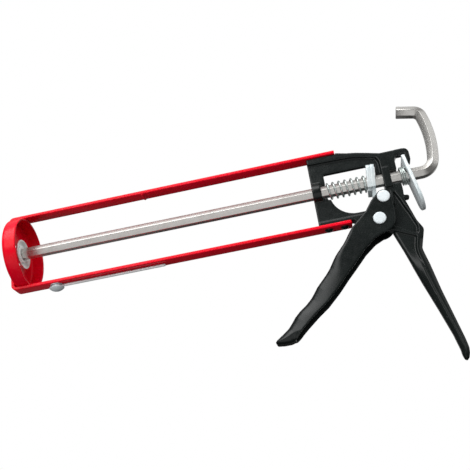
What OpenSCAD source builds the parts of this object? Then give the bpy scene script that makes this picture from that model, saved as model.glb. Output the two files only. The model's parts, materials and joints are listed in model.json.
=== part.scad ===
// Skeleton caulking gun for 310 ml cartridges, in millimetres.
// Origin: centre of the nozzle hole, in the outer face of the front plate.
// +X runs back along the push rod to its hook, +Z is up, and the gun is symmetric about Y = 0.
// Outlines of the casting and the trigger are given as [x, z] from the casting's front face.

/* [Cradle] */
// Outside radius of the front cup
cup_r = 27.2; // [26:0.1:29]
// Depth of the front cup
cup_depth = 11; // [9:0.5:14]
// Thickness of the cup's sheet
sheet_t = 1.5; // [1:0.1:2]
// Radius of the nozzle hole
nozzle_r = 8; // [7.5:0.25:9]
// Clear length from the front plate to the casting
bay_len = 228; // [220:1:240]
// Width of each strap
strap_w = 11; // [9:0.5:14]
// Thickness of each strap
strap_t = 2.5; // [2:0.1:3]

/* [Push rod] */
// Width across the flats of the hexagonal rod
rod_af = 8; // [7:0.25:8.5]
// Radius of the plunger disc
plunger_r = 11.35; // [10:0.25:20]

/* [Casting] */
// Half thickness of the casting's flanges
flange_y = 4; // [3.5:0.25:4.5]
// Half thickness of the casting's web
web_y = 2; // [1.5:0.25:3]
// Half thickness of the handle
handle_y = 5.5; // [4.5:0.25:6]

/* [Trigger] */
// Half width of the trigger's U section
trigger_y = 8; // [7.75:0.25:9]
// Sheet thickness of the trigger
trigger_t = 1.5; // [1.2:0.1:1.6]
// Radius of both rivets
rivet_r = 3; // [2.5:0.25:3.5]
// Radius of both rivet heads
rivet_head_r = 4.5; // [4:0.25:5]

/* [Plates and springs] */
// Lean of the grip plates, foot forward, in degrees
grip_lean = 6.5; // [4:0.5:8]
// Lean of the release plate, foot back, in degrees
release_lean = 9.3; // [7:0.1:10]
// Wire diameter of the return spring
return_wire = 1.5; // [1.2:0.1:1.7]
// Turns of the return spring
return_turns = 7; // [6:0.5:8]

/* [Seal punch] */
// Diameter of the punch wire
punch_d = 2; // [1.6:0.1:2.2]
// Length of the punch from its rivet to its tip
punch_len = 84; // [70:1:90]

/* [Hidden] */
$fn = 96;

fit = 0.05;                          // radial clearance of a rivet in its hole
lap = 0.02;                          // how far a straight run enters the bend that it meets
body_x = sheet_t + bay_len;          // the casting's front face
strap_z = cup_r + strap_t;           // outer face of a strap
rod_r = rod_af / 2 / cos(30);        // radius over the rod's corners
strap_rivets = [6.6, 18];            // both straps' rivets, behind the casting's front face
top_strap_end = 21.4;
bottom_strap_end = 23.4;
rivet_depth = 2.8;                   // how far the strap rivets' holes go into the casting
punch_x = body_x - 198.7;            // the seal punch's rivet
nub_x = body_x - 125.8;              // the pressed nub on the top strap

pivot = [42.65, -31.6];              // trigger pivot
drive = [48.65, -15.7];              // drive rivet
guide_end = 57.2;                    // rear face of the rod's rear guide
ear_in = trigger_y - trigger_t;      // inner faces of the trigger's ears
roller_r = 4.1;

plunger_x = 2.9;                     // front face of the plunger disc
washer_x = plunger_x + 1.5;          // front face of the plunger's washer
washer_t = 1.3;
spigot_r = 3;
punch_shank_r = 1.6;
punch_eye_r = punch_shank_r + fit + punch_d / 2;   // centre line of the punch's eye
punch_z = -strap_z - 0.5 - punch_d / 2;

red = [0.86, 0.02, 0.11];
black = [0.08, 0.09, 0.085];
zinc = [0.78, 0.81, 0.82];

// Moves a shape drawn from the casting's front face to its place.
module at_body() {
    translate([body_x, 0, 0]) children();
}

// Extrudes an [x, z] outline across the gun, from y0 to y1.
module across(y0, y1) {
    translate([0, y1, 0]) rotate([90, 0, 0]) linear_extrude(y1 - y0) children();
}

// A round bar across the gun.
module pin(at, r, half) {
    translate([at[0], 0, at[1]]) rotate([90, 0, 0]) cylinder(r = r, h = 2 * half, center = true);
}

// A domed rivet head on the plane z = 0, rising along +Z.
module dome(r, h) {
    ball = (r * r + h * h) / (2 * h);
    intersection() {
        translate([0, 0, h - ball]) sphere(r = ball);
        cylinder(r = r, h = h);
    }
}

// A coil spring along +X from x = 0. Its last turn leans like the plate that it bears on.
module coil(length, r, wire, turns, lean) {
    sides = 8;
    per_turn = 18;
    rings = floor(turns * per_turn);
    function ring(i) =
        let (turn = 360 * turns * i / rings, along = i / rings)
        let (mid = along * (length + lean * r * sin(turn)))
        [for (s = [0 : sides - 1])
            let (a = 360 * s / sides, out = r + wire / 2 * cos(a))
            [mid + wire / 2 * sin(a), out * cos(turn), out * sin(turn)]];
    points = [for (i = [0 : rings]) each ring(i)];
    walls = [for (i = [0 : rings - 1], s = [0 : sides - 1])
        let (a = i * sides + s, b = i * sides + (s + 1) % sides)
        each [[a, b, b + sides], [a, b + sides, a + sides]]];
    first = [for (s = [1 : sides - 2]) [0, s + 1, s]];
    tail = rings * sides;
    last = [for (s = [1 : sides - 2]) [tail, tail + s, tail + s + 1]];
    polyhedron(points, concat(walls, first, last));
}

// ---- cradle ----

module front_cup() {
    corner = 3;
    color(red) rotate([0, 90, 0]) rotate_extrude() polygon(concat(
        [[nozzle_r, 0]],
        [for (a = [0 : 15 : 90]) [cup_r - corner + corner * sin(a), corner - corner * cos(a)]],
        [[cup_r, cup_depth], [cup_r - sheet_t, cup_depth]],
        [for (a = [90 : -15 : 0])
            [cup_r - corner + (corner - sheet_t) * sin(a), corner - (corner - sheet_t) * cos(a)]],
        [[nozzle_r, sheet_t]]
    ));
}

// A strap above the bay: along the cup, round its front corner, and down the front plate.
module strap(end_x, end_corner) {
    bend = 4;
    tab_z = 19;
    end = body_x + end_x;
    translate([bend - strap_t, -strap_w / 2, cup_r])
        cube([end - end_corner - bend + strap_t, strap_w, strap_t]);
    if (end_corner > 0)
        translate([0, 0, cup_r]) linear_extrude(strap_t) {
            translate([end - end_corner, end_corner - strap_w / 2])
                square([end_corner, strap_w - 2 * end_corner]);
            for (side = [-1, 1])
                intersection() {
                    translate([end - end_corner, side * (strap_w / 2 - end_corner)]) circle(end_corner);
                    translate([end - end_corner, side > 0 ? 0 : -strap_w / 2])
                        square([end_corner, strap_w / 2]);
                }
        }
    translate([bend - strap_t, 0, strap_z - bend]) rotate([90, 0, 0]) rotate([0, 0, 90])
        rotate_extrude(angle = 90)
            translate([bend - strap_t, -strap_w / 2]) square([strap_t, strap_w]);
    translate([-strap_t, -strap_w / 2, tab_z]) cube([strap_t, strap_w, strap_z - bend - tab_z]);
    translate([-strap_t, 0, tab_z]) rotate([0, 90, 0]) cylinder(r = strap_w / 2, h = strap_t);
}

module strap_holes() {
    for (x = strap_rivets)
        translate([body_x + x, 0, cup_r - 1]) cylinder(r = 2 + fit, h = strap_t + 2);
}

module top_strap() {
    nub_r = 1.2;
    color(red) {
        difference() {
            strap(top_strap_end, 0);
            strap_holes();
        }
        translate([nub_x, 0, cup_r + 0.3]) rotate([90, 0, 0])
            cylinder(r = nub_r, h = strap_w - 1, center = true);
    }
}

module bottom_strap() {
    color(red) mirror([0, 0, 1]) difference() {
        strap(bottom_strap_end, 2);
        strap_holes();
        translate([punch_x, 0, cup_r - 1]) cylinder(r = punch_shank_r + fit, h = strap_t + 2);
    }
}

// A strap rivet, drawn above the bay: its shank is set in the casting.
module strap_rivet(x) {
    color(black) translate([body_x + x, 0, 0]) {
        translate([0, 0, cup_r - rivet_depth + 0.1]) cylinder(r = 2, h = strap_t + rivet_depth - 0.1);
        translate([0, 0, strap_z]) dome(3.2, 1.9);
    }
}

module top_rivet_front() { strap_rivet(strap_rivets[0]); }
module top_rivet_rear() { strap_rivet(strap_rivets[1]); }
module bottom_rivet_front() { mirror([0, 0, 1]) strap_rivet(strap_rivets[0]); }
module bottom_rivet_rear() { mirror([0, 0, 1]) strap_rivet(strap_rivets[1]); }

// ---- casting ----

// Outer outline of the head and the fixed handle.
module casting_outline() {
    polygon([
        [0, 27.2], [22, 27.2], [22, 28], [30, 26], [37, 24.8], [46, 22.5], [53, 20.6],
        [64.4, 20.7], [64.4, 16.3], [62.7, 13], [62.7, 5], [63.6, 4], [63.6, -12],
        [63, -18.5], [67.7, -36.5], [70.8, -43], [70.8, -44.8], [67, -57], [67.1, -59.2],
        [69.3, -69.8], [72.5, -89.5], [76, -106.7], [79.6, -124.7], [80.5, -131],
        [80.2, -134.5], [79.2, -137.4], [77.6, -139], [76, -138], [75.2, -135], [75, -131.2], [72.7, -120.2],
        [67.1, -100.9], [61.2, -81.6], [54.3, -56.5], [49.6, -41.5],
        [44, -41.2], [36, -38], [29, -32], [25, -27.2], [0, -27.2]
    ]);
}

// Recess of the head, open at the front edge.
module head_recess() {
    polygon([
        [-1, 22.6], [29.6, 22], [35.6, 21.2], [49.6, 17.9], [51.4, 14.4], [51.4, -22],
        [45, -24.2], [-1, -24.2]
    ]);
}

// Recess behind the trigger, between the diagonal rear ridge and the rib below it.
module shoulder_recess() {
    polygon([
        [50, -36.5], [50, -24], [55.5, -21], [56.4, -10.5], [59.8, -18.7], [61.5, -23.8],
        [64.2, -30.7], [67.4, -40.7], [66.6, -46.2], [61, -44], [55, -39.6]
    ]);
}

// Recess below the rib, open at the front edge and closed by the rear ridge.
module handle_recess() {
    polygon([
        [46, -40], [54.6, -43.2], [60.6, -48], [65.2, -51], [63, -57.5], [62.8, -61.5],
        [58.5, -66], [55, -66.5]
    ]);
}

// The window that the return spring, the grip plates and the drive rivet work in.
module window() {
    arc_at = [29.3, -4.2];
    arc_r = 17.3;
    polygon(concat(
        [[10.3, 13.5], [48, 13.5], [47.1, 5.2], [51.5, 5.2], [51.5, -9], [54, -11],
            [54, -19.5], [52, -21.5]],
        [for (a = [270 : -10 : 190]) arc_at + arc_r * [cos(a), sin(a)]],
        [[10.3, -7.2]]
    ));
}

// The arm over the rear, whose lip keeps the release plate in its notch.
module lug() {
    round_r = 4;
    union() {
        translate([64, 16.9]) square([6, 3.8]);
        intersection() {
            translate([70, 20.7 - round_r]) circle(round_r);
            translate([70, 20.7 - round_r]) square(round_r);
        }
        translate([70.6, 11.2]) square([3.4, 5.5]);
        translate([70, 16.7]) square([1, 1]);
        translate([72.3, 11.2]) circle(1.7);
    }
}

module body_casting() {
    boss_r = 7.5;
    color(black) at_body() difference() {
        union() {
            across(-web_y, web_y) casting_outline();
            across(-flange_y, flange_y) difference() {
                casting_outline();
                head_recess();
                shoulder_recess();
                handle_recess();
            }
            across(-flange_y, flange_y) lug();
            // the handle's thicker front half
            across(-handle_y, handle_y) polygon([
                [57.4, -68], [62.6, -64], [64.8, -75], [66.9, -85], [69, -97], [71.5, -108.5],
                [75, -120], [78, -131], [78, -136], [77, -137.8], [76, -137.4], [75.2, -135],
                [75, -131.2], [72.7, -120.2], [67.1, -100.9], [61.2, -81.6]
            ]);
            // guides for the rod, ahead of and behind the window
            rotate([0, 90, 0]) cylinder(r = boss_r, h = 6.5);
            translate([51.5, -5.5, -8]) cube([guide_end - 51.5, 11, 16]);
            pin(pivot, 6, ear_in - 0.3);
            // stop for the release plate
            translate([62, -2, -18.4]) cube([3.4, 4, 3.1]);
            pin([65.4, -16.85], 1.55, 2);
        }
        across(-9, 9) window();
        for (gap = [[6.5, 12], [guide_end, 64.5]])
            translate([gap[0], -9, -5.4]) cube([gap[1] - gap[0], 18, 10.8]);
        translate([-1, 0, 0]) rotate([0, 90, 0]) cylinder(r = rod_r + 0.1, h = 66);
        pin(pivot, rivet_r + fit, 9);
        for (side = [0, 1], x = strap_rivets)
            mirror([0, 0, side]) translate([x, 0, cup_r - rivet_depth]) cylinder(r = 2 + fit, h = 6);
    }
}

// ---- trigger ----

// Front edge of the trigger, from its ears down to the toe.
finger_edge = [
    [25.5, -31.5], [22.6, -34], [18.8, -38.5], [16.4, -42], [14, -45], [10.4, -48.8],
    [6.9, -52.6], [4.1, -56.6], [1.5, -60.5], [-1.7, -64.2], [-5.5, -67.9], [-9.3, -71.6],
    [-12.3, -75.5], [-15.2, -79.1], [-19.2, -82.7], [-24, -86.1], [-27.9, -89.7],
    [-30.9, -93.5], [-34, -97], [-38.5, -100.3], [-43.4, -103.6]
];
// Outer edge of the toe, and the inside of its wall on the way back.
toe_edge = [[-44.3, -104.9], [-43.4, -106.2], [-38.5, -106.8], [-33.5, -106.7], [-30, -105.6]];
toe_inside = [[-30.5, -104.2], [-34, -105.2], [-38.2, -105.2], [-40.2, -103.2]];
// Rear edge, from the toe back up to the pivot.
palm_edge = [
    [-27.2, -103.2], [-24.6, -100.4], [-20, -96.4], [-12.5, -90.4], [-4.3, -84.5],
    [5.5, -75.4], [13.4, -67], [20.3, -60.2], [28.4, -51.8], [36.7, -45.4], [43, -42.6]
];

// Unit normal of a path at point i, to the left of its travel.
function normal_at(path, i) =
    let (a = path[max(i - 1, 0)], b = path[i + 1], d = b - a)
    [-d[1], d[0]] / norm(d);

// Wall of the given thickness along the front edge and round the toe.
function front_wall(t) = concat(
    finger_edge, toe_edge, toe_inside,
    [for (i = [len(finger_edge) - 2 : -1 : 0]) finger_edge[i] + t * normal_at(finger_edge, i)]);

module trigger_side() {
    ear_r = 5.4;
    heel_r = 11;
    union() {
        polygon(concat([[34.3, -23.9], [39.6, -16.7], [44.2, -12.6]], [drive, [54.05, -15.7],
            [54.1, -27.9], pivot + heel_r * [cos(-15), sin(-15)], pivot],
            [for (i = [len(palm_edge) - 1 : -1 : 0]) palm_edge[i]],
            [for (i = [len(toe_edge) - 1 : -1 : 0]) toe_edge[i]],
            [for (i = [len(finger_edge) - 1 : -1 : 0]) finger_edge[i]]));
        translate(drive) circle(ear_r);
        intersection() {
            translate(pivot) circle(heel_r);
            translate(pivot + [-1, -12]) square([13, 16]);
        }
    }
}

module trigger() {
    color(black) at_body() difference() {
        union() {
            for (y = [-trigger_y, ear_in])
                across(y, y + trigger_t) trigger_side();
            across(-trigger_y, trigger_y) polygon(front_wall(trigger_t));
        }
        pin(pivot, rivet_r + fit, 10);
        pin(drive, rivet_r + fit, 10);
    }
}

// A rivet through the trigger's ears, with a flat head at each end.
module ear_rivet(at, gap) {
    head_t = 1.1;
    edge = 0.4;
    color(zinc) at_body() {
        pin(at, rivet_r, trigger_y + gap + 0.1);
        for (side = [0, 1])
            mirror([0, side, 0]) translate([at[0], -trigger_y - gap, at[1]]) rotate([90, 0, 0]) {
                cylinder(r = rivet_head_r, h = head_t - edge);
                translate([0, 0, head_t - edge])
                    cylinder(r1 = rivet_head_r, r2 = rivet_head_r - edge, h = edge);
            }
    }
}

module pivot_rivet() { ear_rivet(pivot, fit); }
module drive_rivet() { ear_rivet(drive, 0); }

module drive_roller() {
    color(zinc) at_body() difference() {
        pin(drive, roller_r, ear_in - 0.2);
        pin(drive, rivet_r + fit, ear_in + 1);
    }
}

// ---- plates ----

// Hexagonal hole for the rod, in a plate's own plane.
module rod_hole(af) {
    circle(r = af / 2 / cos(30), $fn = 6);
}

// A grip plate with its front face at x, leaning about the rod's axis.
module grip_plate(x, foot) {
    plate_t = 2.9;
    head_y = 9;
    head_top = 11.9;
    head_foot = -7;
    stem_y = 6;
    corner = 3.5;
    color(zinc) at_body() translate([x, 0, 0]) rotate([0, grip_lean, 0]) rotate([0, 90, 0])
        rotate([0, 0, 90]) linear_extrude(plate_t) difference() {
            union() {
                translate([-head_y, head_foot]) square([2 * head_y, head_top - corner - head_foot]);
                translate([-head_y + corner, 0]) square([2 * (head_y - corner), head_top]);
                for (side = [-1, 1])
                    translate([side * (head_y - corner), head_top - corner]) circle(corner);
                translate([-stem_y, foot]) square([2 * stem_y, -foot]);
            }
            rod_hole(rod_af + 1.2);
        }
}

module grip_plate_front() { grip_plate(40.05, -8.5); }
module grip_plate_rear() { grip_plate(43, -19.4); }

// The release plate: square head in the lug's notch, long stem, round foot.
module release_plate() {
    plate_t = 2.5;
    half_w = 9.5;
    foot = -28.8;
    head = 12.6;
    color(zinc) at_body() translate([69.2, 0, 0]) rotate([0, -release_lean, 0]) rotate([0, 90, 0])
        rotate([0, 0, 90]) linear_extrude(plate_t) difference() {
            union() {
                translate([-half_w, foot + half_w]) square([2 * half_w, head - foot - half_w]);
                translate([0, foot + half_w]) circle(half_w);
            }
            rod_hole(rod_af + 1.4);
        }
}

module return_spring() {
    seat = 10.5;
    bearing = 39.85;
    color(zinc) at_body() translate([seat + return_wire / 2, 0, 0])
        coil(bearing - seat - return_wire, 5.75, return_wire, return_turns, tan(grip_lean));
}

module release_spring() {
    wire = 1.1;
    seat = 63.8;
    bearing = 68.9;
    color(zinc) at_body() translate([seat + wire / 2, 0, 0])
        coil(bearing - seat - wire, 6.4, wire, 3.25, -tan(release_lean));
}

// ---- push rod ----

// Section of the rod, with flats to the left and right.
module hexagon() {
    polygon([for (a = [30 : 60 : 330]) rod_r * [cos(a), sin(a)]]);
}

// A straight run of the hexagonal rod along +X, with flats above and below.
module hex_run(length) {
    rotate([0, 90, 0]) linear_extrude(length) hexagon();
}

// A bend of the rod in the X-Z plane about the point at, from heading h0 to h1.
module hex_bend(at, r, h0, h1) {
    translate([at[0], 0, at[1]]) rotate([90, 0, 0]) rotate([0, 0, h0 - 90])
        rotate_extrude(angle = h1 - h0) translate([r, 0]) hexagon();
}

// Point at the far end of a bend that starts at p.
function left_of(heading) = [-sin(heading), cos(heading)];
function after_bend(p, r, h0, h1) = p + r * left_of(h0) - r * left_of(h1);

module push_rod() {
    front = washer_x + washer_t;     // where the hexagon ends
    peen_x = plunger_x - 1.2;
    peen_t = 1.2;
    hook = [[10.5, 0, 78], [84, 78, 103], [6.5, 103, 167]];   // radius, first and last heading
    tip_len = 12.5;
    start = [body_x + 79.4, 0];
    p1 = after_bend(start, hook[0][0], hook[0][1], hook[0][2]);
    p2 = after_bend(p1, hook[1][0], hook[1][1], hook[1][2]);
    p3 = after_bend(p2, hook[2][0], hook[2][1], hook[2][2]);
    color(zinc) {
        translate([front, 0, 0]) hex_run(start[0] - front + lap);
        for (leg = [[start, hook[0]], [p1, hook[1]], [p2, hook[2]]])
            hex_bend(leg[0] + leg[1][0] * left_of(leg[1][1]), leg[1][0], leg[1][1], leg[1][2]);
        translate([p3[0], 0, p3[1]]) rotate([0, -hook[2][2], 0])
            translate([-lap, 0, 0]) hex_run(tip_len + lap);
        // spigot through the plunger, with its peened end
        translate([plunger_x, 0, 0]) rotate([0, 90, 0]) cylinder(r = spigot_r, h = front - plunger_x);
        translate([peen_x, 0, 0]) rotate([0, 90, 0]) cylinder(r1 = 3.6, r2 = 4.4, h = peen_t);
    }
}

module plunger_disc() {
    color(zinc) translate([plunger_x, 0, 0]) rotate([0, 90, 0]) rotate_extrude() polygon([
        [spigot_r + fit, 0], [7.4, 0], [9.4, 0.8], [10.6, 2], [plunger_r, 2.4], [plunger_r, 3.6],
        [10.2, 3.4], [8.6, 2], [7, 1.5], [spigot_r + fit, 1.5]
    ]);
}

module plunger_washer() {
    color(zinc) translate([washer_x, 0, 0]) rotate([0, 90, 0]) difference() {
        cylinder(r = 6.6, h = washer_t);
        translate([0, 0, -1]) cylinder(r = spigot_r + fit, h = washer_t + 2);
    }
}

// ---- seal punch ----

// Piercing wire: an eye round its rivet, and a straight leg with a blunt tip.
module seal_punch() {
    tip_len = 0.7;
    color(zinc) translate([punch_x, 0, punch_z]) {
        difference() {
            union() {
                cylinder(r = punch_eye_r + punch_d / 2, h = punch_d, center = true);
                translate([punch_eye_r, 0, 0]) rotate([0, 90, 0])
                    cylinder(d = punch_d, h = punch_len - tip_len - punch_eye_r);
            }
            cylinder(r = punch_shank_r + fit, h = punch_d + 2, center = true);
        }
        translate([punch_len - tip_len, 0, 0]) rotate([0, 90, 0])
            cylinder(d1 = punch_d, d2 = punch_d / 2, h = tip_len);
    }
}

module punch_rivet() {
    head_z = punch_z - punch_d / 2 - 0.1;
    color(zinc) translate([punch_x, 0, 0]) {
        translate([0, 0, head_z]) cylinder(r = punch_shank_r, h = -cup_r - head_z);
        translate([0, 0, head_z]) mirror([0, 0, 1]) dome(5.6, 2.6);
        translate([0, 0, -cup_r]) dome(3, 1.1);
    }
}

module punch_washer() {
    color(zinc) translate([punch_x, 0, -strap_z - 0.4]) difference() {
        cylinder(r = 4.5, h = 0.4);
        translate([0, 0, -1]) cylinder(r = punch_shank_r + fit, h = 3);
    }
}

front_cup();
top_strap();
bottom_strap();
top_rivet_front();
top_rivet_rear();
bottom_rivet_front();
bottom_rivet_rear();
body_casting();
trigger();
pivot_rivet();
drive_rivet();
drive_roller();
grip_plate_front();
grip_plate_rear();
return_spring();
release_plate();
release_spring();
push_rod();
plunger_disc();
plunger_washer();
seal_punch();
punch_rivet();
punch_washer();
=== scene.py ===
# Caulking gun: the looks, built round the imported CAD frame. Metres, +X towards the hook, +Z up.
import json
import math

import bmesh
import bpy
from mathutils import Matrix, Vector
from mathutils.bvhtree import BVHTree
from mathutils.kdtree import KDTree


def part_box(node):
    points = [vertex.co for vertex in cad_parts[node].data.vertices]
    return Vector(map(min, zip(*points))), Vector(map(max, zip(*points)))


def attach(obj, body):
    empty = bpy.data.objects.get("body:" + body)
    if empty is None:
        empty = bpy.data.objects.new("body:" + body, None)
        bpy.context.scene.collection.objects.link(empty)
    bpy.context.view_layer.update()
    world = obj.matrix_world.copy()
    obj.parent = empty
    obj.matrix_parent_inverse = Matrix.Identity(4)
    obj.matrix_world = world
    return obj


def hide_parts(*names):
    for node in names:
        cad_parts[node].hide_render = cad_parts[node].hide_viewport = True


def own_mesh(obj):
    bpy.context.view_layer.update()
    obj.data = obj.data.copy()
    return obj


MM = 0.001

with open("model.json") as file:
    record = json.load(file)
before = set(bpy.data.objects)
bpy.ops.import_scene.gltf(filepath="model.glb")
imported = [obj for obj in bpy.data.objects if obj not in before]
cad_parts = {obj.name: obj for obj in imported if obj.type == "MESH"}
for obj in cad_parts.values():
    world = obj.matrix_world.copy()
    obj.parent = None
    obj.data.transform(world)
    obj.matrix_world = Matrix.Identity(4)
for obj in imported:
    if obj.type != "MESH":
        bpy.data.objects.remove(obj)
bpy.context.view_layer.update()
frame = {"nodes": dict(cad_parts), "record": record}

# ---------------------------------------------------------------- driving sizes, from the frame

NOZZLE = next(m for m in frame["record"]["mounts"] if m["name"] == "nozzle_hole")
CUP_LO, CUP_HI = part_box("front_cup")
STRAP_LO, STRAP_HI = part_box("top_strap")

BODY_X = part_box("body_casting")[0].x            # the casting's front face
CUP_R = CUP_HI.z                                # outside radius of the cup, and the straps' inner faces
STRAP_W = STRAP_HI.y - STRAP_LO.y
STRAP_T = STRAP_HI.z - CUP_R
STRAP_OUT = (CUP_R + STRAP_T) / MM              # the straps' outer faces, in mm from the rod's axis
NUB_AHEAD = 125.8                               # the top strap's nub, in mm ahead of the casting
NOZZLE_R = NOZZLE["dims"]["r_mm"]
SHEET_T = NOZZLE["dims"]["length_mm"]           # thickness of the cup's sheet, in mm
PLUNGER_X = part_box("plunger_disc")[0].x / MM    # front face of the plunger disc, in mm
ROD_AF = 8 * MM                                 # across the rod's flats
ROD_R = ROD_AF / 2 / math.cos(math.radians(30))
ROD_EDGE = 0.7 * MM                             # radius along the rod's edges


# ---------------------------------------------------------------- shader helpers

def add_node(tree, kind, **settings):
    node = tree.nodes.new(kind)
    for key, value in settings.items():
        setattr(node, key, value)
    return node


def set_range(node, low, high, to_low, to_high):
    """Sets what a Map Range node maps from and to."""
    for socket, number in zip(node.inputs[1:5], (low, high, to_low, to_high)):
        socket.default_value = number


class Shader:
    """A small builder for a node material, with object-space coordinates in millimetres."""

    def __init__(self, name):
        self.material = bpy.data.materials.new(name)
        self.material.use_nodes = True
        self.tree = self.material.node_tree
        self.tree.nodes.clear()
        self.bsdf = self.add("ShaderNodeBsdfPrincipled")
        self.out = self.add("ShaderNodeOutputMaterial")
        self.link(self.bsdf.outputs[0], self.out.inputs[0])
        coords = self.add("ShaderNodeTexCoord")
        scale = self.add("ShaderNodeVectorMath", operation="SCALE")
        scale.inputs["Scale"].default_value = 1 / MM
        self.link(coords.outputs["Object"], scale.inputs[0])
        self.mm = scale.outputs[0]

    def add(self, kind, **settings):
        return add_node(self.tree, kind, **settings)

    def link(self, source, target):
        self.tree.links.new(source, target)

    def feed(self, socket, value):
        """Links a socket to the value if that is a socket too, and sets it otherwise."""
        if isinstance(value, bpy.types.NodeSocket):
            self.link(value, socket)
        else:
            socket.default_value = value

    def stretched(self, factors):
        """The coordinates, scaled by three factors, for grain that runs one way."""
        node = self.add("ShaderNodeVectorMath", operation="MULTIPLY")
        node.inputs[1].default_value = factors
        self.link(self.mm, node.inputs[0])
        return node.outputs[0]

    def noise(self, scale, detail=3, roughness=0.5, vector=None):
        node = self.add("ShaderNodeTexNoise")
        node.inputs["Scale"].default_value = scale
        node.inputs["Detail"].default_value = detail
        node.inputs["Roughness"].default_value = roughness
        self.link(vector or self.mm, node.inputs["Vector"])
        return node.outputs[0]

    def remap(self, value, low, high, to_low, to_high):
        node = self.add("ShaderNodeMapRange")
        set_range(node, low, high, to_low, to_high)
        self.link(value, node.inputs[0])
        return node.outputs[0]

    def mix(self, factor, a, b):
        """Mixes two colours, each a socket or a tuple."""
        node = self.add("ShaderNodeMix", data_type="RGBA")
        for socket, value in ((node.inputs[0], factor), (node.inputs[6], a), (node.inputs[7], b)):
            self.feed(socket, value)
        return node.outputs[2]

    def times(self, a, b):
        node = self.add("ShaderNodeMath", operation="MULTIPLY")
        for socket, value in zip(node.inputs, (a, b)):
            self.feed(socket, value)
        return node.outputs[0]

    def bump(self, height, strength, distance_mm, normal=None):
        node = self.add("ShaderNodeBump")
        node.inputs["Strength"].default_value = strength
        node.inputs["Distance"].default_value = distance_mm * MM
        self.link(height, node.inputs["Height"])
        if normal is not None:
            self.link(normal, node.inputs["Normal"])
        return node.outputs[0]

    def edges(self):
        """1 on outer edges and 0 elsewhere, from the mesh's pointiness."""
        geometry = self.add("ShaderNodeNewGeometry")
        return self.remap(geometry.outputs["Pointiness"], 0.52, 0.62, 0, 1)

    def put(self, **values):
        """Sets the shader's inputs, and returns the finished material."""
        for key, value in values.items():
            self.feed(self.bsdf.inputs[key.replace("_", " ")], value)
        return self.material


def rgb(r, g, b):
    return (r, g, b, 1)


def red_enamel():
    """Gloss enamel in two close reds, paler along its edges as a painted highlight, with orange peel and
    fine specks.
    """
    s = Shader("red_enamel")
    patches = s.remap(s.noise(0.06, 3), 0.35, 0.65, 0, 1)
    colour = s.mix(patches, rgb(0.64, 0.0, 0.010), rgb(0.74, 0.0, 0.016))
    # painted highlight: the convex edges, found by pointiness, are mixed a quarter of the way to a paler red
    colour = s.mix(s.times(s.edges(), 0.25), colour, rgb(0.86, 0.03, 0.04))
    peel = s.noise(0.9, 2, 0.4)
    specks = s.noise(5, 2, 0.5)
    normal = s.bump(peel, 0.30, 0.05)
    normal = s.bump(specks, 0.10, 0.02, normal)
    rough = s.remap(s.noise(0.35, 4), 0.3, 0.7, 0.20, 0.30)
    return s.put(Base_Color=colour, Roughness=rough, Normal=normal, Specular_IOR_Level=0.25)


def black_enamel():
    """Satin powder coat with a fine orange peel, worn grey here and there along its edges."""
    s = Shader("black_enamel")
    patches = s.remap(s.noise(0.05, 4), 0.35, 0.65, 0, 1)
    colour = s.mix(patches, rgb(0.0048, 0.0066, 0.0063), rgb(0.0080, 0.0105, 0.0101))
    worn = s.times(s.edges(), s.remap(s.noise(0.5, 4), 0.5, 0.62, 0, 1))
    colour = s.mix(s.times(worn, 0.5), colour, rgb(0.05, 0.055, 0.055))
    peel = s.noise(0.75, 3, 0.55)
    grain = s.noise(3.2, 3, 0.6)
    normal = s.bump(peel, 0.45, 0.08)
    normal = s.bump(grain, 0.30, 0.03, normal)
    rough = s.remap(s.noise(0.3, 4), 0.3, 0.7, 0.19, 0.28)
    return s.put(Base_Color=colour, Roughness=rough, Normal=normal, Specular_IOR_Level=0.40)


def metal(name, low, high, rough, grain, metallic, grain_bump=0.06):
    """Plated or drawn metal: two tones in soft blotches, with fine grain along one axis."""
    s = Shader(name)
    tone = s.remap(s.noise(0.08, 4, 0.6), 0.35, 0.65, 0, 1)
    colour = s.mix(tone, low, high)
    lines = s.noise(1.0, 4, 0.6, s.stretched(grain))
    colour = s.mix(s.remap(lines, 0.35, 0.65, 0, 0.35), colour, [c * 0.86 for c in low[:3]] + [1])
    pits = s.noise(2.2, 3, 0.6)
    normal = s.bump(lines, grain_bump, 0.02)
    normal = s.bump(pits, 0.06, 0.02, normal)
    roughness = s.remap(s.noise(0.5, 3), 0.3, 0.7, *rough)
    return s.put(Base_Color=colour, Metallic=metallic, Roughness=roughness, Normal=normal)


RED = red_enamel()
BLACK = black_enamel()
ROD_ZINC = metal("rod_zinc", rgb(0.70, 0.68, 0.65), rgb(0.80, 0.79, 0.76), rough=(0.26, 0.32),
                 grain=(0.05, 1.2, 1.2), metallic=0.9, grain_bump=0.02)
PLATE_ZINC = metal("plate_zinc", rgb(0.62, 0.70, 0.72), rgb(0.80, 0.85, 0.86), rough=(0.32, 0.42),
                   grain=(1.5, 1.5, 0.08), metallic=0.45)
SPRING_ZINC = metal("spring_zinc", rgb(0.72, 0.80, 0.78), rgb(0.90, 0.96, 0.93), rough=(0.14, 0.22),
                    grain=(0.8, 0.8, 0.8), metallic=0.85)
RIVET_PALE = metal("rivet_pale", rgb(0.60, 0.65, 0.67), rgb(0.68, 0.73, 0.75), rough=(0.45, 0.55),
                   grain=(1.5, 1.5, 1.5), metallic=0.15)
# Painted light: a paler, less metallic zinc than the plates, lightened to make up for the shade inside the
# cup, where the disc and washer sit.
PLUNGER_ZINC_PAINTED_LIGHT = metal("plunger_zinc_painted_light", rgb(0.78, 0.84, 0.83), rgb(0.92, 0.95, 0.92), rough=(0.30, 0.42),
                     grain=(1.5, 1.5, 1.5), metallic=0.25)
WIRE_STEEL = metal("wire_steel", rgb(0.74, 0.75, 0.76), rgb(0.86, 0.87, 0.88), rough=(0.30, 0.40),
                   grain=(0.08, 2.0, 2.0), metallic=0.3)


# ---------------------------------------------------------------- mesh helpers

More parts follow.
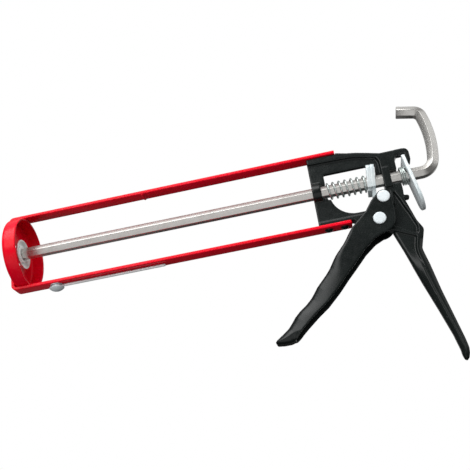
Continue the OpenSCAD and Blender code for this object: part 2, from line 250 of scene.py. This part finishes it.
def new_object(name, mesh, material, body, slot, *nodes):
    """Links a mesh as a piece that rides on a body and stands for CAD nodes."""
    for polygon in mesh.polygons:
        polygon.use_smooth = True
    mesh.materials.clear()
    mesh.materials.append(material)
    piece = bpy.data.objects.new(name, mesh)
    bpy.context.scene.collection.objects.link(piece)
    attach(piece, body)
    if nodes:
        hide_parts(*nodes)
    return piece


def mesh_from(bm, name):
    bmesh.ops.recalc_face_normals(bm, faces=bm.faces)
    mesh = bpy.data.meshes.new(name)
    bm.to_mesh(mesh)
    bm.free()
    return mesh


def apply_modifiers(piece):
    """Replaces the piece's mesh by what its modifiers make of it."""
    graph = bpy.context.evaluated_depsgraph_get()
    graph.update()
    made = bpy.data.meshes.new_from_object(piece.evaluated_get(graph))
    old = piece.data
    piece.modifiers.clear()
    piece.data = made
    bpy.data.meshes.remove(old)
    for polygon in made.polygons:
        polygon.use_smooth = True


def cad_copy(node):
    """A clean copy of a CAD node's mesh: welded, with its flat faces merged."""
    bm = bmesh.new()
    bm.from_mesh(frame["nodes"][node].data)
    bmesh.ops.remove_doubles(bm, verts=bm.verts, dist=0.002 * MM)
    bmesh.ops.dissolve_limit(bm, angle_limit=math.radians(0.5), verts=bm.verts, edges=bm.edges)
    return mesh_from(bm, node)


def plated(node, body, round_mm):
    """A zinc-plated CAD node, with its sharp edges rounded."""
    piece = new_object(node + "_finish", cad_copy(node), PLATE_ZINC, body, "zinc_plate", node)
    bevel = piece.modifiers.new("edge", "BEVEL")
    bevel.width = round_mm * MM
    bevel.segments = 3
    bevel.limit_method = "ANGLE"
    bevel.angle_limit = math.radians(28)
    bevel.use_clamp_overlap = True
    bevel.harden_normals = True
    apply_modifiers(piece)


def swept(name, path, section):
    """A closed mesh swept along a path of (point, side, up), with a section of (along side, along up)."""
    bm = bmesh.new()
    rings = []
    for point, side, up in path:
        rings.append([bm.verts.new(point + side * a + up * b) for a, b in section])
    count = len(section)
    for low, high in zip(rings, rings[1:]):
        for i in range(count):
            j = (i + 1) % count
            bm.faces.new((low[i], low[j], high[j], high[i]))
    bm.faces.new(rings[0])
    bm.faces.new(rings[-1])
    return mesh_from(bm, name)


def turned(name, profile, axis_point, axis, steps):
    """A mesh turned about an axis, from a profile of (radius, distance along the axis) in mm."""
    axis = Vector(axis).normalized()
    side = axis.orthogonal().normalized()
    up = axis.cross(side)
    bm = bmesh.new()
    rings = []
    for radius, along in profile:
        centre = Vector(axis_point) + axis * along * MM
        if radius == 0:
            rings.append([bm.verts.new(centre)])
            continue
        rings.append([
            bm.verts.new(centre + radius * MM * (side * math.cos(a) + up * math.sin(a)))
            for a in (2 * math.pi * k / steps for k in range(steps))
        ])
    for low, high in zip(rings, rings[1:]):
        for i in range(steps):
            j = (i + 1) % steps
            corners = [low[i % len(low)], low[j % len(low)], high[j % len(high)], high[i % len(high)]]
            bm.faces.new(list(dict.fromkeys(corners)))
    return mesh_from(bm, name)


def angles(start, end, steps):
    """Even angles from start to end, given in degrees, as radians."""
    return [math.radians(start + (end - start) * k / steps) for k in range(steps + 1)]


def arc(centre, radius, start, end, steps):
    """Points on an arc, from start to end in degrees."""
    return [(centre[0] + radius * math.cos(a), centre[1] + radius * math.sin(a))
            for a in angles(start, end, steps)]


def ring_section(radius, steps):
    """The round section of a wire."""
    return [(radius * math.cos(a), radius * math.sin(a)) for a in angles(0, 360, steps)[:-1]]


def dome(radius, height, top, steps):
    """The profile of a spherical dome, from its top out to its edge, in mm."""
    ball = (radius ** 2 + height ** 2) / (2 * height)
    sweep = math.asin(radius / ball)
    return [(0, top)] + [(ball * math.sin(a), top - ball + ball * math.cos(a))
                         for a in (sweep * k / steps for k in range(1, steps + 1))]


def ease(value):
    """Smooth step from 0 to 1."""
    value = min(max(value, 0), 1)
    return value * value * (3 - 2 * value)


# ---------------------------------------------------------------- camera, floor and light

AZIMUTH, ELEVATION, ROLL = (math.radians(a) for a in (6.83, -22.98, -8.77))
CAMERA_AT = (BODY_X + 2.9 * MM, -533.9 * MM, -247.0 * MM)
LENS, SENSOR = 61.28, 36
FLOOR_Z = -0.6
LIT_AT = Vector((0.18, 0, -0.02))       # where the lights point


def photo_camera():
    """The photograph's view: from the left, a little behind, and from below, with the gun tipped."""
    ahead = Vector((
        -math.sin(AZIMUTH) * math.cos(ELEVATION),
        math.cos(AZIMUTH) * math.cos(ELEVATION),
        -math.sin(ELEVATION),
    ))
    level = Vector((math.cos(AZIMUTH), math.sin(AZIMUTH), 0))
    above = level.cross(ahead)
    right = math.cos(ROLL) * level + math.sin(ROLL) * above
    up = math.cos(ROLL) * above - math.sin(ROLL) * level
    data = bpy.data.cameras.new("photo_camera")
    data.sensor_width = SENSOR
    data.lens = LENS
    data.clip_start = 0.01
    data.clip_end = 20
    camera = bpy.data.objects.new("photo_camera", data)
    bpy.context.scene.collection.objects.link(camera)
    camera.matrix_world = Matrix((
        (right.x, up.x, -ahead.x, CAMERA_AT[0]),
        (right.y, up.y, -ahead.y, CAMERA_AT[1]),
        (right.z, up.z, -ahead.z, CAMERA_AT[2]),
        (0, 0, 0, 1),
    ))
    bpy.context.scene.camera = camera


def pale_floor():
    """A wide pale floor, below the camera."""
    bm = bmesh.new()
    bmesh.ops.create_grid(bm, x_segments=1, y_segments=1, size=12)
    bmesh.ops.translate(bm, verts=bm.verts, vec=(0.2, 0, FLOOR_Z))
    mesh = mesh_from(bm, "floor")
    s = Shader("floor_paint")
    tone = s.remap(s.noise(0.02, 3), 0.3, 0.7, 0, 1)
    mesh.materials.append(s.put(
        Base_Color=s.mix(tone, rgb(0.72, 0.72, 0.72), rgb(0.76, 0.76, 0.76)), Roughness=0.9,
        Emission_Color=rgb(1, 1, 1), Emission_Strength=0.42))
    floor = bpy.data.objects.new("floor", mesh)
    bpy.context.scene.collection.objects.link(floor)
    floor.visible_glossy = False
    floor.visible_diffuse = False


def soft_light(name, offset, size, power):
    """A soft light for diffuse surfaces. Reflections come from the sky's patches."""
    data = bpy.data.lights.new(name, "AREA")
    data.shape = "RECTANGLE"
    data.size, data.size_y = size
    data.energy = power
    light = bpy.data.objects.new(name, data)
    bpy.context.scene.collection.objects.link(light)
    light.location = LIT_AT + offset
    light.rotation_mode = "QUATERNION"
    light.rotation_quaternion = (-offset).to_track_quat("-Z", "Y")
    light.visible_camera = False
    light.visible_glossy = False


def studio():
    """A white surround for the camera, and for reflections a dim dome with a few soft bright patches."""
    world = bpy.data.worlds.new("studio")
    bpy.context.scene.world = world
    world.use_nodes = True
    tree = world.node_tree
    tree.nodes.clear()

    def background(strength):
        node = add_node(tree, "ShaderNodeBackground")
        node.inputs["Color"].default_value = (1, 1, 1, 1)
        node.inputs["Strength"].default_value = strength
        return node

    coords = add_node(tree, "ShaderNodeTexCoord")

    def patch(direction, low, high, dark, bright):
        """Brightness over the sky that grows from dark to bright towards a direction."""
        dot = add_node(tree, "ShaderNodeVectorMath", operation="DOT_PRODUCT")
        dot.inputs[1].default_value = Vector(direction).normalized()
        tree.links.new(coords.outputs["Generated"], dot.inputs[0])
        ramp = add_node(tree, "ShaderNodeMapRange", interpolation_type="SMOOTHSTEP")
        set_range(ramp, low, high, dark, bright)
        tree.links.new(dot.outputs["Value"], ramp.inputs[0])
        return ramp.outputs[0]

    total = patch((0, -0.35, 0.95), -0.6, 0.3, 0.03, 0.10)
    for direction, low, high, bright in (
            ((-0.05, 0.15, 0.99), 0.78, 0.96, 0.45),      # overhead
            ((-0.22, -0.58, 0.78), 0.90, 0.98, 3.2),      # where the key light is
            ((-0.34, -0.89, 0.30), 0.955, 0.990, 2.2),    # a small softbox in front, on the left
            ((-0.11, -0.80, -0.60), 0.84, 0.97, 0.65),    # low in front
            ((0.85, -0.34, 0.39), 0.78, 0.95, 0.62),      # to the right
            ((0.20, 0.88, 0.40), 0.80, 0.97, 0.55),       # behind
            ((-0.45, 0.80, -0.39), 0.955, 0.978, 0.10)):  # low behind, on the left
        sum_node = add_node(tree, "ShaderNodeMath", operation="ADD")
        tree.links.new(total, sum_node.inputs[0])
        tree.links.new(patch(direction, low, high, 0, bright), sum_node.inputs[1])
        total = sum_node.outputs[0]
    sky = background(0)
    tree.links.new(total, sky.inputs["Strength"])
    white = background(1)
    path = add_node(tree, "ShaderNodeLightPath")
    choose = add_node(tree, "ShaderNodeMixShader")
    tree.links.new(path.outputs["Is Camera Ray"], choose.inputs[0])
    tree.links.new(sky.outputs[0], choose.inputs[1])
    tree.links.new(white.outputs[0], choose.inputs[2])
    out = add_node(tree, "ShaderNodeOutputWorld")
    tree.links.new(choose.outputs[0], out.inputs[0])

    soft_light("key", Vector((-0.22, -0.58, 0.78)).normalized(), (1.1, 0.6), 11)
    soft_light("fill", Vector((-0.75, -0.60, -0.25)).normalized(), (0.5, 0.5), 3.4)
    soft_light("side", Vector((0.85, -0.45, 0.20)), (0.5, 0.5), 4.0)
    soft_light("bounce", Vector((0, -0.1, -0.5)), (0.8, 0.4), 0.5)


photo_camera()
pale_floor()
studio()
bpy.context.scene.view_settings.view_transform = "Standard"


# ---------------------------------------------------------------- cradle

def rounded_box_section(width, thickness, radius):
    """A rectangle with rounded corners, centred across and standing on its inner face."""
    points = []
    for cx, cy, start in ((1, 1, 0), (-1, 1, 90), (-1, -1, 180), (1, -1, 270)):
        centre = (cx * (width / 2 - radius), thickness / 2 + cy * (thickness / 2 - radius))
        points += arc(centre, radius, start, start + 90, 4)
    return points


def strap_path(node, sign):
    """A strap's inner face: a round tab over the cup's front, the bend, and straight back to the casting."""
    lo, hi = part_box(node)
    bend = 4 * MM                                  # outer radius of the bend
    tab_z = 19 * MM                                # centre of the tab's round end
    rear_corner = (2 if sign < 0 else 0.6) * MM
    forward = Vector((-1, 0, 0))
    upward = Vector((0, 0, 1))
    centre = Vector((lo.x + bend, 0, CUP_R + STRAP_T - bend))
    stations = []                                  # a point, the way out from the face, a share of the width
    for k in range(13):
        drop = math.sin(math.pi / 2 * (1 - k / 12)) * STRAP_W / 2 * 0.995
        width = math.sqrt(max(1 - (drop / (STRAP_W / 2)) ** 2, 0.004))
        stations.append((Vector((lo.x + STRAP_T, 0, tab_z - drop)), forward, width))
    stations += [(Vector((lo.x + STRAP_T, 0, z)), forward, 1) for z in (21 * MM, 24 * MM)]
    for a in angles(180, 90, 12):
        out = Vector((math.cos(a), 0, math.sin(a)))
        stations.append((centre + out * (bend - STRAP_T), out, 1))
    straight = hi.x - rear_corner - centre.x
    stations += [(Vector((centre.x + straight * k / 40, 0, CUP_R)), upward, 1) for k in range(1, 40)]
    for a in angles(0, 90, 8):
        width = 1 - (rear_corner - rear_corner * math.cos(a)) * 2 / STRAP_W
        x = hi.x - rear_corner + rear_corner * math.sin(a)
        stations.append((Vector((x, 0, CUP_R)), upward, width))
    flip = Matrix.Diagonal((1, 1, sign))
    return [(flip @ point, Vector((0, width, 0)), flip @ out) for point, out, width in stations]


def strap(name, node, sign):
    section = rounded_box_section(STRAP_W, STRAP_T, 0.55 * MM)
    new_object(name, swept(name, strap_path(node, sign), section), RED, "frame", "red_enamel", node)


def strap_nub():
    """The small pressed nub under the top strap, across its width."""
    radius = 1.2
    edge = 0.5
    half = (STRAP_W / MM - 1) / 2
    round_end = [(radius - edge + edge * math.sin(a), half - edge + edge * math.cos(a))
                 for a in angles(0, 90, 4)]
    profile = [(0, half)] + round_end + [(r, -y) for r, y in reversed(round_end)] + [(0, -half)]
    centre = (BODY_X - NUB_AHEAD * MM, 0, CUP_R + 0.3 * MM)
    mesh = turned("top_strap_nub", profile, centre, (0, 1, 0), 40)
    new_object("top_strap_nub", mesh, RED, "frame", "red_enamel")


def cup():
    """The pressed front cup, with a rolled corner and a rounded rim."""
    outer = CUP_R / MM
    depth = (CUP_HI.x - CUP_LO.x) / MM
    hole, sheet, rim = NOZZLE_R, SHEET_T, SHEET_T / 2
    corner = 3
    lip = 0.35                                     # rounding of the hole's edges
    profile = [(hole, rim)]
    profile += [(hole + lip - lip * math.cos(a), lip - lip * math.sin(a)) for a in angles(0, 90, 4)]
    profile += [(outer - corner + corner * math.sin(a), corner - corner * math.cos(a))
                for a in angles(0, 90, 12)]
    profile += [(outer - rim + rim * math.cos(a), depth - rim + rim * math.sin(a))
                for a in angles(0, 180, 10)]
    inside = corner - sheet
    profile += [(outer - corner + inside * math.sin(a), corner - inside * math.cos(a))
                for a in angles(90, 0, 10)]
    profile += [(hole + lip - lip * math.cos(a), sheet - lip + lip * math.sin(a)) for a in angles(90, 0, 4)]
    profile.append(profile[0])
    mesh = turned("front_cup_shell", profile, (0, 0, 0), (1, 0, 0), 160)
    new_object("front_cup_shell", mesh, RED, "frame", "red_enamel", "front_cup")


strap("top_strap_bar", "top_strap", 1)
strap("bottom_strap_bar", "bottom_strap", -1)
strap_nub()
cup()


# ---------------------------------------------------------------- push rod and plunger

def rounded_hexagon(radius, corner):
    """The rod's section: flats above and below, and rounded edges."""
    points = []
    inner = radius - corner / math.cos(math.radians(30))
    for a in range(0, 360, 60):
        centre = (inner * math.cos(math.radians(a)), inner * math.sin(math.radians(a)))
        points += arc(centre, corner, a - 30, a + 30, 4)
    return points


def rod_path():
    """The rod's centre line: straight, then three bends into the hook, then its straight tip."""
    bends = ((10.5, 78, 26), (84, 25, 20), (6.5, 64, 22))       # radius in mm, degrees and steps of each
    tip = 12.5 * MM                                             # length after the last bend
    front_x = (PLUNGER_X + 2.8) * MM
    bend_x = BODY_X + 79.4 * MM                                 # where the first bend starts
    path = []

    def station(point, heading, size=1):
        up = Vector((-math.sin(heading), 0, math.cos(heading)))
        path.append((point, Vector((0, -1, 0)) * size, up * size))

    station(Vector((front_x, 0, 0)), 0, 0.9)
    station(Vector((front_x + 0.5 * MM, 0, 0)), 0)
    for k in range(1, 61):
        station(Vector((front_x + (bend_x - front_x) * k / 60, 0, 0)), 0)
    point = Vector((bend_x, 0, 0))
    heading = 0.0
    for radius, turn, steps in bends:
        step = math.radians(turn) / steps
        chord = 2 * radius * MM * math.sin(step / 2)
        for _ in range(steps):
            mid = heading + step / 2
            point = point + Vector((math.cos(mid), 0, math.sin(mid))) * chord
            heading += step
            station(point, heading)
    ahead = Vector((math.cos(heading), 0, math.sin(heading)))
    for short, size in ((0.5, 1), (0.15, 0.955), (0, 0.89)):
        station(point + ahead * (tip - short * MM), heading, size)
    return path


def push_rod():
    """The hexagonal rod, and the round spigot with a peened end that carries the plunger."""
    mesh = swept("push_rod_bar", rod_path(), rounded_hexagon(ROD_R, ROD_EDGE))
    new_object("push_rod_bar", mesh, ROD_ZINC, "rod", "zinc_plate", "push_rod")
    spigot = [(0, 2.9), (3, 2.9), (3, 0.1), (4.3, 0), (4.4, -0.3), (4.0, -0.9), (3.2, -1.15), (0, -1.2)]
    spigot = [(r, PLUNGER_X + x) for r, x in spigot]
    end = turned("push_rod_spigot", spigot, (0, 0, 0), (1, 0, 0), 64)
    new_object("push_rod_spigot", end, ROD_ZINC, "rod", "zinc_plate")


def plunger():
    """A dished, pressed disc and its washer, as profiles behind the disc's front face."""
    disc = [
        (3.05, 0), (7.0, 0), (7.6, 0.06), (8.4, 0.35), (9.4, 0.9), (10.3, 1.75), (10.9, 2.2), (11.2, 2.45),
        (11.35, 2.8), (11.35, 3.25), (11.2, 3.5), (10.9, 3.6), (10.4, 3.45), (9.8, 2.95), (9.0, 2.3),
        (8.4, 1.9), (7.7, 1.6), (7.0, 1.5), (3.05, 1.5), (3.05, 0),
    ]
    ring = [(3.05, 1.5), (3.05, 2.8), (6.1, 2.8), (6.45, 2.7), (6.6, 2.45), (6.6, 1.5), (3.05, 1.5)]
    for name, profile, node in (("plunger_disc_pressing", disc, "plunger_disc"),
                                ("plunger_washer_ring", ring, "plunger_washer")):
        mesh = turned(name, profile, (PLUNGER_X * MM, 0, 0), (1, 0, 0), 128)
        new_object(name, mesh, PLUNGER_ZINC_PAINTED_LIGHT, "rod", "zinc_plate", node)


push_rod()
plunger()


# ---------------------------------------------------------------- casting and trigger

def ray_tree(node):
    bm = bmesh.new()
    bm.from_mesh(frame["nodes"][node].data)
    tree = BVHTree.FromBMesh(bm)
    bm.free()
    return tree


def hit(tree, start, direction, axis):
    """Where a ray meets a CAD node, along one axis, in mm from the casting's front face, or None."""
    origin = Vector((BODY_X + start[0] * MM, 0, start[1] * MM))
    place = tree.ray_cast(origin, Vector(direction))[0]
    if place is None:
        return None
    return (place.x - BODY_X) / MM if axis == "x" else place.z / MM


def body_point(x, y, z):
    """A point given in mm from the casting's front face."""
    return Vector((BODY_X + x * MM, y * MM, z * MM))


# All in mm. Heights are from the rod's axis, and x from the casting's front face.
RIB = (54.6, -43.2)                             # a point on the lower edge of the head's rib, x and z
RIB_NORMAL = Vector((-0.451, 0, -0.893))        # square to the rib, pointing down
HEAD_SPLIT = 40                                 # the head is cut along the rib behind this x
HEAD_LAP = 0.3                                  # how far its two parts run into each other
HANDLE_LAP = 0.6                                # how far the handle runs up into the rib
HANDLE_TOP, HANDLE_GAP, HANDLE_RINGS = -41.8, 0.9, 106
HANDLE_END = [-137.4, -138.1, -138.6, -138.85]  # closer rings at the handle's tip
AHEAD_OF_HANDLE, BEHIND_HANDLE = 40, 90         # where rays to its front and rear edges start
FULL_FROM, FULL_OVER = 54, 26                   # below this the flat bar swells into the grip
EVEN_FROM, EVEN_OVER = 84, 24                   # and below this the grip's side is an even round
TIP_FROM, TIP_OVER = 127, 12.4                  # and here the tip closes
BAR_HALF, BAR_THIN, BAR_EDGE = 2.7, 0.9, 2.2    # half thickness of the bar, and how it thins over its edge
GRIP_HALF, GRIP_SWELL = 2.0, 3.4                # half thickness at the grip's front edge, and its swell
RIDGE_HALF, RIDGE_SWELL = 2.2, 2.1              # the same at the ridge's rear edge
RIDGE_W, RIDGE_LEAST = 4.7, 2.2                 # width of the ridge
STEP_W, GROOVE_W, GROOVE_DEPTH = 0.7, 0.6, 0.55     # between the grip and the ridge


def handle_half(along, width, crease, z):
    """Half the handle's thickness in mm, at a height and a distance behind its front edge.

    The handle is width mm deep there: a grip, a crease at the distance crease, and a rear ridge.
    """
    full = ease((-z - FULL_FROM) / FULL_OVER)
    even = ease((-z - EVEN_FROM) / EVEN_OVER)
    bar = BAR_HALF - BAR_THIN * (1 - min(along / BAR_EDGE, 1)) ** 2
    q = min(along / crease, 1)
    grip = GRIP_HALF + GRIP_SWELL * (q ** 0.7 * (1 - even) + math.sin(math.pi / 2 * q ** 0.85) * even)
    front = bar + (grip - bar) * full
    p = min(max(width - along, 0) / (width - crease), 1)
    ridge = RIDGE_HALF + RIDGE_SWELL * math.sqrt(1 - (1 - p) ** 2)
    half = front + (ridge - front) * ease((along - crease) / STEP_W + 0.5)
    half -= GROOVE_DEPTH * full * math.exp(-((along - crease) / GROOVE_W) ** 2)
    tip = min(max((-z - TIP_FROM) / TIP_OVER, 0), 1)
    return half * max(math.sqrt(1 - tip * tip), 0.12)


def lofted_handle(bm):
    """Adds the handle below the rib, as level rings between the CAD's front and rear edges."""
    tree = ray_tree("body_casting")
    steps = 64
    rings = []
    places = []
    for z in [HANDLE_TOP - HANDLE_GAP * k for k in range(HANDLE_RINGS)] + HANDLE_END:
        front = hit(tree, (AHEAD_OF_HANDLE, z), (1, 0, 0), "x")
        rear = hit(tree, (BEHIND_HANDLE, z), (-1, 0, 0), "x")
        if front is not None and rear is not None:
            places.append((z, front, rear))
    for i, (z, front, rear) in enumerate(places):
        # the crease keeps the ridge an even width, except near the tip, where the handle is thin
        near_by = places[max(i - 5, 0):i + 6]
        width = rear - front
        even = sum(b - a for _, a, b in near_by) / len(near_by)
        crease = max(even - RIDGE_W, 0.55 * width) if width > 9 else 0.55 * width
        crease = max(min(crease, width - RIDGE_LEAST), 0.45 * width)
        near = []
        for k in range(steps + 1):
            along = width * (1 - math.cos(math.pi * k / steps)) / 2
            near.append((front + along, handle_half(along, width, crease, z)))
        ring = [bm.verts.new(body_point(x, -y, z)) for x, y in near]
        ring += [bm.verts.new(body_point(x, y, z)) for x, y in reversed(near)]
        rings.append(ring)
    count = len(rings[0])
    for high, low in zip(rings, rings[1:]):
        for i in range(count):
            j = (i + 1) % count
            bm.faces.new((high[i], high[j], low[j], low[i]))
    bm.faces.new(rings[0])
    bm.faces.new(rings[-1])


def cut(bm, at, normal):
    """Cuts a closed mesh at a plane, keeps the side that the normal points away from, and closes it."""
    geometry = bm.verts[:] + bm.edges[:] + bm.faces[:]
    made = bmesh.ops.bisect_plane(bm, geom=geometry, plane_co=at, plane_no=normal, clear_outer=True)
    edges = [e for e in made["geom_cut"] if isinstance(e, bmesh.types.BMEdge)]
    bmesh.ops.holes_fill(bm, edges=edges, sides=0)


def skin(piece):
    """Turns closed, overlapping meshes into one even skin with soft edges, like a coated casting."""
    remesh = piece.modifiers.new("skin", "REMESH")
    remesh.mode = "VOXEL"
    remesh.voxel_size = 0.45 * MM
    smooth = piece.modifiers.new("soft", "SMOOTH")
    smooth.factor = 0.5
    smooth.iterations = 5
    apply_modifiers(piece)


def casting():
    """The head from the CAD, with a rounded handle that has a ridge down its rear edge."""
    rib = body_point(RIB[0], 0, RIB[1])
    backward = Vector((1, 0, 0))
    whole = bmesh.new()
    for cuts in (
            [(body_point(HEAD_SPLIT + HEAD_LAP, 0, 0), backward)],
            [(body_point(HEAD_SPLIT, 0, 0), -backward), (rib, RIB_NORMAL)]):
        part = bmesh.new()
        part.from_mesh(cad_copy("body_casting"))
        for at, normal in cuts:
            cut(part, at, normal)
        whole.from_mesh(mesh_from(part, "head"))
    handle = bmesh.new()
    lofted_handle(handle)
    bmesh.ops.recalc_face_normals(handle, faces=handle.faces)
    cut(handle, rib - RIB_NORMAL * HANDLE_LAP * MM, -RIB_NORMAL)
    whole.from_mesh(mesh_from(handle, "handle"))
    piece = new_object("body_casting_skin", mesh_from(whole, "body_casting_skin"), BLACK, "frame",
                       "black_enamel", "body_casting")
    skin(piece)


# The trigger's outline, by rays at an even gap from its front and from below, in mm
OUTLINE_GAP = 0.25
OUTLINE_TOP, FRONT_RAYS = -34, 286
TOE_X, TOE_RAYS = -44, 52
AHEAD_OF_TRIGGER, BELOW_TRIGGER = -60, -120
# The rounding of its front corners, which starts at the outline's top and grows below LOWER_FROM
LOWER_FROM, LOWER_OVER = 44, 40
REACH, REACH_GROWS = 2.4, 12.6                  # how far in from the outline the rounding runs
DROP, DROP_GROWS = 1.6, 3.2                     # how much it takes off each side at the outline


def trigger_outline():
    """A lookup of the nearest place on the trigger's front and lower edges, seen from the side."""
    tree = ray_tree("trigger")
    outline = []
    for k in range(FRONT_RAYS):
        z = OUTLINE_TOP - k * OUTLINE_GAP
        outline.append((hit(tree, (AHEAD_OF_TRIGGER, z), (1, 0, 0), "x"), z))
    for k in range(TOE_RAYS):
        x = TOE_X + k * OUTLINE_GAP
        outline.append((x, hit(tree, (x, BELOW_TRIGGER), (0, 0, 1), "z")))
    outline = [(x, z) for x, z in outline if x is not None and z is not None]
    nearest = KDTree(len(outline))
    for k, (x, z) in enumerate(outline):
        nearest.insert((x, 0, z), k)
    nearest.balance()
    return nearest


def trigger():
    """The pressed trigger: its front corners are rounded, more and more towards the toe."""
    piece = new_object("trigger_skin", cad_copy("trigger"), BLACK, "trigger", "black_enamel", "trigger")
    skin(piece)
    outline = trigger_outline()
    lo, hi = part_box("trigger")
    half = (hi.y - lo.y) / 2 / MM
    for vertex in piece.data.vertices:
        x = (vertex.co.x - BODY_X) / MM
        z = vertex.co.z / MM
        if z > OUTLINE_TOP or x > 30:
            continue
        depth = outline.find((x, 0, z))[2]
        lower = ease((-z - LOWER_FROM) / LOWER_OVER)
        drop = DROP + DROP_GROWS * lower
        inward = max(1 - depth / (REACH + REACH_GROWS * lower), 0)
        taken = drop / half * (1 - math.sqrt(1 - inward * inward)) * ease((OUTLINE_TOP - z) / 6)
        vertex.co.y *= 1 - taken


casting()
trigger()


# ---------------------------------------------------------------- plates

for plate, body in (("grip_plate_front", "grip"), ("grip_plate_rear", "grip"), ("release_plate", "release")):
    plated(plate, body, round_mm=0.4)


# ---------------------------------------------------------------- springs

def spring(name, node, start_mm, end_mm, radius, wire, turns, closed, end_lean):
    """A coil spring round the rod. Lengths in mm.

    closed is how many turns close up at each end, and end_lean how far the last turn tilts, in degrees.
    """
    steps = int(turns * 36)
    turned_by = [turns * (k / steps) for k in range(steps + 1)]
    # the pitch falls to the wire's own thickness over the closed turns
    pitches = [ease(min(turn / closed, 1)) * ease(min((turns - turn) / closed, 1)) for turn in turned_by]
    total = sum(pitches)
    length = end_mm - start_mm - wire
    dead = 2 * closed * wire * 0.55
    along = 0.0
    path = []
    for turn, pitch in zip(turned_by, pitches):
        a = 2 * math.pi * turn
        x = start_mm + wire / 2 + dead / 2 * min(turn / closed, 1) + (length - dead) * along \
            + dead / 2 * (1 - min((turns - turn) / closed, 1))
        x += math.tan(math.radians(end_lean * along)) * radius * math.sin(a)
        radial = Vector((0, math.cos(a), math.sin(a)))
        path.append((Vector((BODY_X + x * MM, 0, 0)) + radial * radius * MM, radial, Vector((1, 0, 0))))
        along += pitch / total
    mesh = swept(name, path, ring_section(wire / 2 * MM, 14))
    piece = new_object(name, mesh, SPRING_ZINC, "frame", "spring_steel", node)
    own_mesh(piece)


spring("return_spring_coil", "return_spring",
       start_mm=10.4, end_mm=39.8, radius=5.75, wire=1.5, turns=7, closed=0.9, end_lean=6.5)
spring("release_spring_coil", "release_spring",
       start_mm=63.7, end_mm=69.0, radius=6.4, wire=1.1, turns=3.4, closed=0.5, end_lean=-9.3)


# ---------------------------------------------------------------- rivets, roller and punch

def head_rivet(node, body):
    """A trigger rivet: a shank with a flat, slightly crowned head at each end."""
    lo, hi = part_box(node)
    centre = (lo + hi) / 2
    half = (hi.y - lo.y) / 2 / MM
    r = (hi.x - lo.x) / 2 / MM
    head = 1.1                                     # thickness of a head
    shank_r = 3.0
    outer = [(0, half), (r * 0.55, half - 0.02), (r * 0.86, half - 0.08), (r * 0.95, half - 0.22),
             (r, half - 0.5), (r, half - head + 0.1), (r - 0.1, half - head), (shank_r, half - head)]
    profile = outer + [(radius, -along) for radius, along in reversed(outer)]
    mesh = turned(node + "_head", profile, centre, (0, 1, 0), 80)
    new_object(node + "_head", mesh, RIVET_PALE, body, "rivet_steel", node)


def strap_rivet(node, sign):
    """A dome on the outside of a strap, and its shank into the casting, in mm from the rod's axis."""
    lo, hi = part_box(node)
    head_r, head_h, shank_r = 3.2, 1.9, 2.0
    shank_in = STRAP_OUT - 5.2
    under = STRAP_OUT - 0.02
    profile = dome(head_r, head_h, STRAP_OUT + head_h, 10)
    profile += [(head_r - 0.12, under), (shank_r, under), (shank_r, shank_in), (0, shank_in)]
    mesh = turned(node + "_dome", profile, ((lo.x + hi.x) / 2, 0, 0), (0, 0, sign), 64)
    new_object(node + "_dome", mesh, BLACK, "frame", "black_enamel", node)


def punch_rivet():
    """The punch's rivet: a wide dome below the wire, a shank, and a small dome inside the bay."""
    lo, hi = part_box("punch_rivet")
    washer_lo, washer_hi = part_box("punch_washer")
    low = -lo.z / MM
    head_r = (hi.x - lo.x) / 2 / MM
    head_h = 2.6
    shank_r = 1.6
    inner = CUP_R / MM
    under = low - head_h - 0.02
    profile = dome(head_r, head_h, low, 14)
    profile += [(head_r - 0.15, under), (shank_r, under), (shank_r, inner), (3.0, inner)]
    profile += [(2.9, inner - 0.25), (2.4, inner - 0.7), (1.4, inner - 1.0), (0, inner - 1.1)]
    centre = ((washer_lo.x + washer_hi.x) / 2, 0, 0)
    mesh = turned("punch_rivet_dome", profile, centre, (0, 0, -1), 80)
    new_object("punch_rivet_dome", mesh, RIVET_PALE, "frame", "rivet_steel", "punch_rivet")


def seal_punch():
    """The piercing wire: an eye round the rivet, and a straight leg with a blunt tip."""
    lo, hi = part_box("seal_punch")
    wire = (hi.z - lo.z) / 2                       # the wire's radius
    z = (hi.z + lo.z) / 2
    eye_out = (hi.y - lo.y) / 2
    eye_r = eye_out - wire
    centre = Vector((lo.x + eye_out, 0, z))
    section = ring_section(wire, 16)
    up = Vector((0, 0, 1))
    eye = []
    for a in angles(12, 348, 44):
        out = Vector((math.cos(a), math.sin(a), 0))
        eye.append((centre + out * eye_r, out, up))
    mesh = swept("seal_punch_eye", eye, section)
    new_object("seal_punch_eye", mesh, WIRE_STEEL, "punch", "punch_wire", "seal_punch")
    side = Vector((0, 1, 0))
    start = centre.x + eye_r
    stations = [(start - 0.2 * MM, 1)]
    stations += [(start + (hi.x - 1.0 * MM - start) * k / 20, 1) for k in range(1, 21)]
    stations += [(hi.x - wire * (1 - math.sin(a)), math.cos(a))
                 for a in map(math.radians, (15, 35, 55, 72, 84))]
    leg = [(Vector((x, 0, z)), side * size, up * size) for x, size in stations]
    new_object("seal_punch_leg", swept("seal_punch_leg", leg, section), WIRE_STEEL, "punch", "punch_wire")


head_rivet("pivot_rivet", "frame")
head_rivet("drive_rivet", "trigger")
for node in ("top_rivet_front", "top_rivet_rear", "bottom_rivet_front", "bottom_rivet_rear"):
    strap_rivet(node, 1 if node.startswith("top") else -1)
plated("drive_roller", "trigger", round_mm=0.3)
plated("punch_washer", "frame", round_mm=0.08)
punch_rivet()
seal_punch()
